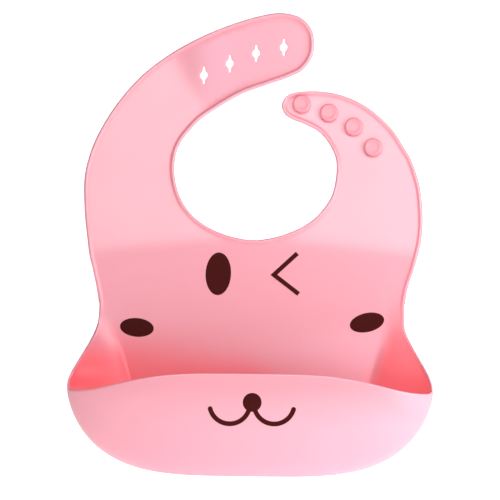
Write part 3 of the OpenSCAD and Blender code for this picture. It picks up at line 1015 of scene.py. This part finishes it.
def stud_head(name, centre):
    x, z = centre
    m = STUD_SEGMENTS
    around = np.linspace(0, 2 * math.pi, m, endpoint=False)
    verts = [(x, -SHEET - STUD_PROFILE[0][1], z)]
    verts += [(x + r * math.cos(t), -SHEET - h, z + r * math.sin(t))
              for r, h in STUD_PROFILE[1:-1] for t in around]
    verts.append((x, -SHEET - STUD_PROFILE[-1][1], z))
    top_ring = 1 + (len(STUD_PROFILE) - 3) * m
    faces = []
    for j in range(m):
        after = (j + 1) % m
        faces.append((0, 1 + j, 1 + after))
        faces += [(i + j, i + m + j, i + m + after, i + after) for i in range(1, top_ring, m)]
        faces.append((top_ring + j, len(verts) - 1, top_ring + after))
    PIECES[name] = make_object(name, rest_map(verts, np.zeros(len(verts), bool)), faces)


for name, centre in zip(STUD_NAMES, STUDS):
    stud_head(name, centre)

# every skin faces outwards
for ob in PIECES.values():
    bm = bmesh.new()
    bm.from_mesh(ob.data)
    volume = bm.calc_volume(signed=True)
    bm.free()
    if volume < 0:
        ob.data.flip_normals()
        ob.data.update()


# ---------------------------------------------------------------- materials
def add_node(tree, kind, inputs=None, **settings):
    node = tree.nodes.new("ShaderNode" + kind)
    for key, value in settings.items():
        setattr(node, key, value)
    set_inputs(node, inputs or {})
    return node


def set_inputs(node, inputs):
    for key, value in inputs.items():
        node.inputs[key].default_value = value


# sockets of a colour Mix node
COLOR_A, COLOR_B, COLOR_OUT = 6, 7, 2


def add_painted_shade(tree, bsdf, color, shaded_fold, lit_pink, spec):
    """Paints shade into the hollows (redder, duller), paints light where the value is negative
    (paler) and adds a painted glow; returns the colour.
    """
    link = tree.links.new
    painted_shade = add_node(tree, "Attribute", attribute_name="painted_shade").outputs["Fac"]
    # painted shade mixes the colour towards the deep red, painted light towards the paler pink
    tint = add_node(tree, "Mix", {COLOR_B: (*shaded_fold, 1)}, data_type="RGBA")
    link(painted_shade, tint.inputs[0])
    link(color, tint.inputs[COLOR_A])
    minus = add_node(tree, "Math", {1: -1.0}, operation="MULTIPLY", use_clamp=True)
    paint_light = add_node(tree, "Mix", {COLOR_B: (*lit_pink, 1)}, data_type="RGBA")
    link(painted_shade, minus.inputs[0])
    link(minus.outputs[0], paint_light.inputs[0])
    link(tint.outputs[COLOR_OUT], paint_light.inputs[COLOR_A])
    # painted shade also takes shine away down in the pocket
    dull = add_node(tree, "MapRange", {"To Min": spec, "To Max": spec * 0.15})
    link(painted_shade, dull.inputs["Value"])
    link(dull.outputs["Result"], bsdf.inputs["Specular IOR Level"])
    # painted glow: red emission where the glow attribute is set, though the sheet is no lamp
    glow = add_node(tree, "Attribute", attribute_name="glow")
    strength = add_node(tree, "Math", {1: 0.34}, operation="MULTIPLY")
    link(glow.outputs["Fac"], strength.inputs[0])
    link(strength.outputs[0], bsdf.inputs["Emission Strength"])
    set_inputs(bsdf, {"Emission Color": (1.0, 0.13, 0.14, 1)})
    return paint_light.outputs[COLOR_OUT]


def silicone(name, base, deep, rough, bump, sheen, spec, shaded_fold=None, lit_pink=None):
    """Moulded silicone: nearly even colour, faintly cloudy, fine grain and a broad soft shine."""
    material = bpy.data.materials.new(name)
    material.use_nodes = True
    tree = material.node_tree
    link = tree.links.new
    bsdf = tree.nodes["Principled BSDF"]
    place = add_node(tree, "TexCoord").outputs["Object"]
    cloud = add_node(tree, "TexNoise", {"Scale": 28.0, "Detail": 3.0, "Roughness": 0.55})
    mix = add_node(tree, "Mix", {COLOR_A: (*base, 1), COLOR_B: (*deep, 1)}, data_type="RGBA")
    share = add_node(tree, "MapRange", {"From Min": 0.35, "From Max": 0.75, "To Max": 0.5})
    link(place, cloud.inputs["Vector"])
    link(cloud.outputs["Fac"], share.inputs["Value"])
    link(share.outputs["Result"], mix.inputs[0])
    color = mix.outputs[COLOR_OUT]
    # painted shade, painted light and a painted glow, read from the skins' attributes
    if shaded_fold is not None:
        color = add_painted_shade(tree, bsdf, color, shaded_fold, lit_pink, spec)
    link(color, bsdf.inputs["Base Color"])

    fine = add_node(tree, "TexNoise", {"Scale": 2600.0, "Detail": 4.0})
    wave = add_node(tree, "TexNoise", {"Scale": 60.0, "Detail": 1.0})
    grain = add_node(tree, "Bump", {"Strength": bump, "Distance": 0.00004})
    swell = add_node(tree, "Bump", {"Strength": 0.25, "Distance": 0.0003})
    link(place, fine.inputs["Vector"])
    link(place, wave.inputs["Vector"])
    link(fine.outputs["Fac"], grain.inputs["Height"])
    link(wave.outputs["Fac"], swell.inputs["Height"])
    link(swell.outputs["Normal"], grain.inputs["Normal"])
    link(grain.outputs["Normal"], bsdf.inputs["Normal"])
    roughness = add_node(tree, "MapRange", {"To Min": rough - 0.05, "To Max": rough + 0.05})
    link(cloud.outputs["Fac"], roughness.inputs["Value"])
    link(roughness.outputs["Result"], bsdf.inputs["Roughness"])
    set_inputs(bsdf, {
        "IOR": 1.5, "Specular IOR Level": spec, "Sheen Weight": sheen, "Sheen Roughness": 0.5,
        "Sheen Tint": (1.0, 0.93, 0.95, 1), "Coat Roughness": 0.5})
    return material


def srgb(*rgb):
    """Linear colour from 0-255 values."""
    return tuple(((c / 255 + 0.055) / 1.055) ** 2.4 if c > 10 else c / 255 / 12.92 for c in rgb)


# the deep red is the painted shade of the pocket and the bead's groove, the paler pink the
# painted light
PINK = silicone("pink_silicone", base=srgb(232, 152, 165), deep=srgb(231, 149, 162), rough=0.33,
                bump=0.30, sheen=0.05, spec=1.0, shaded_fold=srgb(250, 80, 86),
                lit_pink=srgb(242, 172, 188))
# the stud heads get a deeper pink copy of the silicone
STUD = silicone("pink_silicone_deeper", base=srgb(240, 138, 151), deep=srgb(239, 134, 148),
                rough=0.38, bump=0.30, sheen=0.04, spec=0.8)
BROWN = silicone("brown_silicone", base=srgb(66, 12, 11), deep=srgb(54, 9, 9), rough=0.45,
                 bump=0.25, sheen=0.0, spec=0.08)
for name, ob in PIECES.items():
    ob.data.materials.append(BROWN if "inlay" in name else STUD if "stud_head" in name else PINK)

# ---------------------------------------------------------------- bodies
REPLACED = {
    "pocket_skin": ("apron_lower_panel", "catcher_floor", "gusset_left", "gusset_right",
                    "catcher_front_wall"),
    "chest_skin": ("chest_panel",),
    "left_shoulder_skin": ("left_shoulder",),
    "hole_side_skin": ("hole_strap_side",),
    "hole_crown_skin": ("hole_strap_crown",),
    "hole_tip_skin": ("hole_strap_tip",),
    "right_shoulder_skin": ("right_shoulder",),
    "stud_side_skin": ("stud_strap_side",),
    "stud_tip_skin": ("stud_strap_tip",),
    "eye_left_inlay": ("eye_motif_open",),
    "eye_right_inlay": ("eye_motif_wink",),
    "cheek_left_inlay": ("cheek_motif_left",),
    "cheek_right_inlay": ("cheek_motif_right",),
    "muzzle_inlay": ("nose_mouth_motif",)}
for name, parts in REPLACED.items():
    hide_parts(*parts)
for k, name in enumerate(STUD_NAMES):
    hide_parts("stud_%d" % (k + 1))


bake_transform(PIECES["pocket_skin"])
for name in ("chest_skin", "cheek_left_inlay", "cheek_right_inlay"):
    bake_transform(PIECES[name])

lean_cos, lean_sin = math.cos(math.radians(LEAN)), math.sin(math.radians(LEAN))
ROOT_WAY = (0, 0.1, 1)
LEAN_WAY = (0, lean_sin, lean_cos)
TIP_WAY = (TIP_FORWARD[0], TIP_FORWARD[1] * lean_sin, TIP_FORWARD[1] * lean_cos)
# Skin, the two bodies it joins, joint, mm before and after the joint, way along the strap.
STRAP_BENDS = [
    ("left_shoulder_skin", "chest", "hole_shoulder", "hole_strap_wrap", 1.2, 16.8, ROOT_WAY),
    ("right_shoulder_skin", "chest", "stud_shoulder", "stud_strap_wrap", 1, 14, ROOT_WAY),
    ("hole_side_skin", "hole_shoulder", "hole_side", "hole_side_bend", 19, 12.8, LEAN_WAY),
    ("hole_crown_skin", "hole_side", "hole_crown", "hole_crown_bend", 10.5, 10, LEAN_WAY),
    ("hole_tip_skin", "hole_crown", "hole_tip", "hole_tip_bend", 12, 16, TIP_WAY),
    ("stud_side_skin", "stud_shoulder", "stud_side", "stud_side_bend", 9.2, 13, LEAN_WAY),
    ("stud_tip_skin", "stud_side", "stud_tip", "stud_tip_bend", 12, 8, LEAN_WAY)]
for name, body, next_body, joint, before, after, way in STRAP_BENDS:
    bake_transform(PIECES[name])
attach(PIECES["eye_left_inlay"], "chest")
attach(PIECES["eye_right_inlay"], "chest")
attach(PIECES["muzzle_inlay"], "front_wall")
for name in STUD_NAMES:
    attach(PIECES[name], "stud_tip")

# ---------------------------------------------------------------- floor and backdrop, metres
FLOOR_Z = -0.1125
FLOOR_HALF = 9.0         # half width, and how far it runs to the front
CURVE_START = 1.6        # where the floor starts to curve up
CURVE_RADIUS = 1.2
BACKDROP_TOP = 5.0
FLOOR_GLOW = 0.55        # emission for all rays
FLOOR_SEEN = 0.5         # added for the camera


def floor_material():
    """Glowing white; seen from behind, the backdrop gives way."""
    material = bpy.data.materials.new("floor_white")
    material.use_nodes = True
    tree = material.node_tree
    link = tree.links.new
    bsdf = tree.nodes["Principled BSDF"]
    set_inputs(bsdf, {"Base Color": (0.9, 0.9, 0.9, 1), "Roughness": 0.9,
                      "Specular IOR Level": 0.1, "Emission Color": (1, 1, 1, 1)})
    camera_ray = add_node(tree, "LightPath").outputs["Is Camera Ray"]
    glow = add_node(tree, "Math", {1: FLOOR_SEEN, 2: FLOOR_GLOW}, operation="MULTIPLY_ADD")
    link(camera_ray, glow.inputs[0])
    link(glow.outputs[0], bsdf.inputs["Emission Strength"])
    geometry = add_node(tree, "NewGeometry")
    both = add_node(tree, "Math", operation="MULTIPLY")
    clear = add_node(tree, "BsdfTransparent")
    pick = add_node(tree, "MixShader")
    link(camera_ray, both.inputs[0])
    link(geometry.outputs["Backfacing"], both.inputs[1])
    link(both.outputs[0], pick.inputs[0])
    link(bsdf.outputs[0], pick.inputs[1])
    link(clear.outputs[0], pick.inputs[2])
    link(pick.outputs[0], tree.nodes["Material Output"].inputs["Surface"])
    return material


def build_floor():
    mesh = bpy.data.meshes.new("floor")
    profile = [(-FLOOR_HALF, 0.0), (CURVE_START, 0.0)]      # y, height
    profile += [(CURVE_START + CURVE_RADIUS * math.sin(math.radians(a)),
                 CURVE_RADIUS - CURVE_RADIUS * math.cos(math.radians(a)))
                for a in range(10, 91, 10)]
    profile.append((CURVE_START + CURVE_RADIUS, BACKDROP_TOP))
    n = len(profile)
    mesh.from_pydata([(x, y, z + FLOOR_Z) for x in (-FLOOR_HALF, FLOOR_HALF) for y, z in profile],
                     [], [(i, n + i, n + i + 1, i + 1) for i in range(n - 1)])
    mesh.polygons.foreach_set("use_smooth", [True] * len(mesh.polygons))
    floor = bpy.data.objects.new("floor", mesh)
    bpy.context.scene.collection.objects.link(floor)
    floor.data.materials.append(floor_material())


build_floor()

# ---------------------------------------------------------------- light
WORLD_LIGHT = 0.03       # background strength for all rays
WORLD_SEEN = 1.02        # added for the camera
LIGHT_Z = 0.03           # height of the point the softboxes surround
LIGHT_AIM = Vector((0, -0.02, LIGHT_Z))

scene = bpy.context.scene
world = bpy.data.worlds.new("studio")
scene.world = world
world.use_nodes = True
background = world.node_tree.nodes["Background"]
background.inputs["Color"].default_value = (1, 1, 1, 1)
light_path = add_node(world.node_tree, "LightPath")
strength = add_node(world.node_tree, "Math", {1: WORLD_SEEN, 2: WORLD_LIGHT},
                    operation="MULTIPLY_ADD")
world.node_tree.links.new(light_path.outputs["Is Camera Ray"], strength.inputs[0])
world.node_tree.links.new(strength.outputs[0], background.inputs["Strength"])


def softbox(name, azimuth, low, high, wide, dist, radiance, color=(1, 1, 1)):
    """A softbox on a sphere round the bib, facing it: from elevation low to high and so many
    degrees wide; azimuth 0 is the front and 90 the right."""
    turn, rise = math.radians(azimuth), math.radians((low + high) / 2)
    where = (dist * math.sin(turn) * math.cos(rise), -dist * math.cos(turn) * math.cos(rise),
             dist * math.sin(rise) + LIGHT_Z)
    height = 2 * dist * math.tan(math.radians((high - low) / 2))
    width = 2 * dist * math.tan(math.radians(wide / 2))
    light = bpy.data.lights.new(name, "AREA")
    light.shape = "RECTANGLE"
    light.size = width
    light.size_y = height
    light.energy = radiance * math.pi * width * height
    light.color = color
    ob = bpy.data.objects.new(name, light)
    scene.collection.objects.link(ob)
    ob.location = where
    ob.rotation_mode = "QUATERNION"
    ob.rotation_quaternion = (LIGHT_AIM - Vector(where)).to_track_quat("-Z", "Y")


softbox("top_front", azimuth=6, low=17, high=45, wide=48, dist=1.6, radiance=4.05)
softbox("right_mid", azimuth=52, low=-4, high=32, wide=30, dist=0.5, radiance=4.9,
        color=(0.96, 0.97, 1.0))
softbox("back_fill", azimuth=180, low=18, high=60, wide=60, dist=1.4, radiance=1.1)
softbox("right_side", azimuth=86, low=-3, high=24, wide=26, dist=1.6, radiance=1.6,
        color=(0.86, 0.92, 1.0))

# ---------------------------------------------------------------- camera, metres
CAMERA_DIST = 7.0
VIEW_WIDTH = 0.325       # width of the view at the target
CAMERA_ROLL = -0.7       # degrees
TARGET = Vector((-0.0011, 0, 0.0357))

camera_data = bpy.data.cameras.new("camera")
camera_data.sensor_width = 36
camera_data.lens = camera_data.sensor_width / 2 / (VIEW_WIDTH / 2 / CAMERA_DIST)
camera_data.clip_end = 50
camera = bpy.data.objects.new("camera", camera_data)
scene.collection.objects.link(camera)
camera.location = TARGET + Vector((0, -CAMERA_DIST, 0))
view = TARGET - camera.location
roll = Quaternion(view.normalized(), math.radians(CAMERA_ROLL))
camera.rotation_mode = "QUATERNION"
camera.rotation_quaternion = roll @ view.to_track_quat("-Z", "Y")
scene.camera = camera

scene.view_settings.view_transform = "Standard"
scene.view_settings.look = "None"
scene.cycles.max_bounces = 16
scene.cycles.diffuse_bounces = 12
scene.cycles.glossy_bounces = 4
